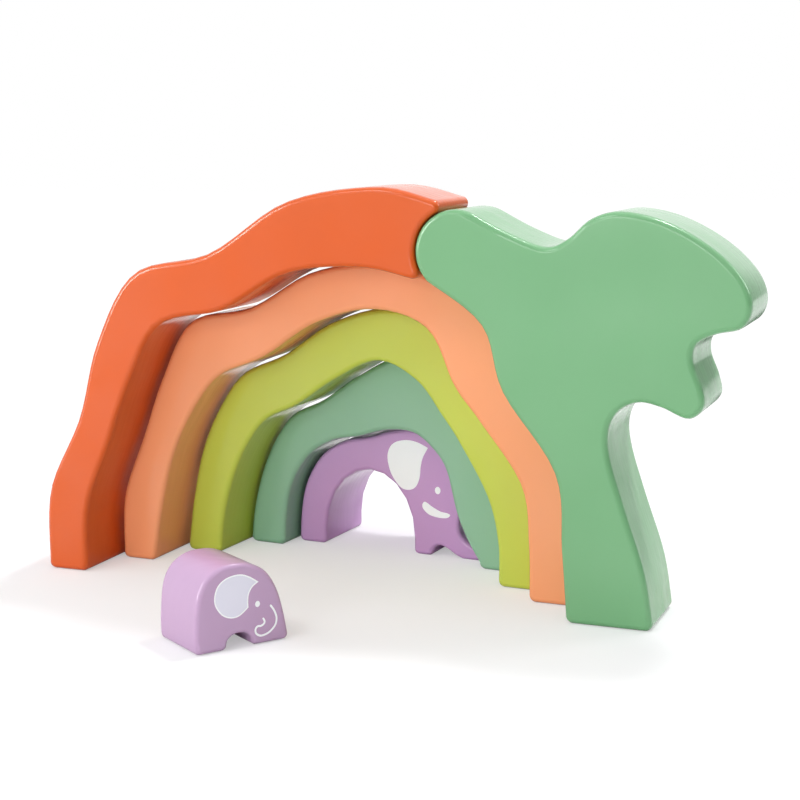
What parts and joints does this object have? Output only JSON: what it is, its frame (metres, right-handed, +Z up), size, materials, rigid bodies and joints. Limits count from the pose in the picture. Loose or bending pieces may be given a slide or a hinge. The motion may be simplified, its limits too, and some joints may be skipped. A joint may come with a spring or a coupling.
{
  "type": "elephant stacking block",
  "caption": "Loose painted wooden stacking set: a mother elephant with a belly arch and her calf, nested hill arches, a mountain half arch and a tree that leans in at the side.",
  "frame": {"origin": "middle of the floor under the whole set: the bottom centre of its bounding box, with the blocks standing as in the picture", "axes": "+X along the row of blocks to the viewer's right, +Y away from the viewer, +Z up"},
  "size_m": [0.3222, 0.2236, 0.1786],
  "materials": {
    "peach_paint": "satin paint over smooth wood",
    "orange_paint": "satin paint over smooth wood",
    "leaf_paint": "satin paint over smooth wood",
    "lime_paint": "satin paint over smooth wood",
    "green_paint": "satin paint over smooth wood",
    "purple_paint": "satin paint over smooth wood",
    "lilac_paint": "satin paint over smooth wood",
    "white_print": "thin printed ink on the paint"
  },
  "bodies": {
    "peach_arch": {"peach_arch": "peach_paint"},
    "orange_mountain": {"orange_mountain": "orange_paint"},
    "tree": {"tree": "leaf_paint"},
    "lime_arch": {"lime_arch": "lime_paint"},
    "green_arch": {"green_arch": "green_paint"},
    "mother_elephant": {"mother_elephant": "purple_paint"},
    "baby_elephant": {"baby_elephant": "lilac_paint"}
  },
  "joints": [
    {"name": "mountain_slide", "type": "slide", "parent": "peach_arch", "child": "orange_mountain", "axis": [0, -1, 0], "range_m": [0, 0.06]},
    {"name": "tree_slide", "type": "slide", "parent": "peach_arch", "child": "tree", "axis": [1, 0, 0], "range_m": [0, 0.06]},
    {"name": "lime_slide", "type": "slide", "parent": "peach_arch", "child": "lime_arch", "axis": [0, 1, 0], "range_m": [-0.021, 0.03]},
    {"name": "green_slide", "type": "slide", "parent": "peach_arch", "child": "green_arch", "axis": [0.0436, 0.999, 0], "range_m": [-0.045, 0.03]},
    {"name": "mother_slide", "type": "slide", "parent": "peach_arch", "child": "mother_elephant", "axis": [0.0436, 0.999, 0], "range_m": [-0.058, 0.035]},
    {"name": "baby_slide", "type": "slide", "parent": "peach_arch", "child": "baby_elephant", "axis": [0.5476, 0.8368, 0], "range_m": [-0.02, 0.05]}
  ]
}
